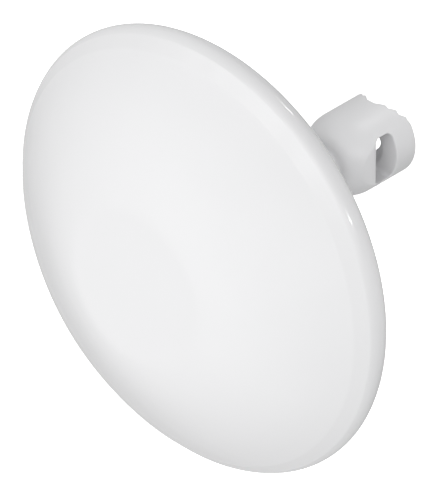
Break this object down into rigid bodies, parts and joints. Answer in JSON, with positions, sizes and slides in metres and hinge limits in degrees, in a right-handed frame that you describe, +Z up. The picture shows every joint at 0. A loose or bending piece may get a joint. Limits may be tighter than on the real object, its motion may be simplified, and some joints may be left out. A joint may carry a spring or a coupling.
{
  "type": "wireless bridge dish antenna",
  "caption": "Closed round dish antenna with a bell-shaped front cover, on a ball joint with a lock nut and a serrated saddle that straps to a pole.",
  "frame": {"origin": "on the flat land at the foot of the saddle's vee, below the bore, where the saddle meets the pole", "axes": "+Y out of the saddle towards the pole, -Y the way the dish looks, +Z up along the pole, +X to the right seen from the front"},
  "size_m": [0.189, 0.1418, 0.1891],
  "materials": {
    "mount": "satin white moulded plastic",
    "liner": "dark low-friction plastic",
    "nut": "satin white moulded plastic",
    "radome": "semi-gloss white moulded plastic",
    "seal": "grey seal",
    "shell": "satin white moulded plastic",
    "housing": "satin white moulded plastic",
    "screw": "zinc plated",
    "lens": "clear light pipe",
    "vent": "matt grey",
    "cover": "satin white moulded plastic",
    "jack": "plated shield"
  },
  "bodies": {
    "mount": {"pole_mount": "mount"},
    "liner": {"ball_liner": "liner"},
    "nut": {"lock_nut": "nut"},
    "dish": {"radome": "radome", "rim_seal": "seal", "reflector_shell": "shell", "radio_housing": "housing", "ball_socket": "housing", "housing_screw_1": "screw", "housing_screw_2": "screw", "housing_screw_3": "screw", "housing_screw_4": "screw", "led_lens_1": "lens", "led_lens_2": "lens", "led_lens_3": "lens", "led_lens_4": "lens", "led_lens_5": "lens", "led_lens_6": "lens", "vent_plug": "vent", "port_cover": "cover", "ethernet_jack": "jack"}
  },
  "joints": [
    {"name": "azimuth", "type": "hinge", "parent": "mount", "child": "liner", "pos_m": [0, -0.047, 0.0132], "axis": [0, 0, 1], "range_deg": [-15, 15]},
    {"name": "elevation", "type": "hinge", "parent": "liner", "child": "nut", "pos_m": [0, -0.047, 0.0132], "axis": [-1, 0, 0], "range_deg": [-15, 15]},
    {"name": "roll", "type": "hinge", "parent": "nut", "child": "dish", "pos_m": [0, -0.047, 0.0132], "axis": [0, -1, 0], "continuous": true}
  ]
}
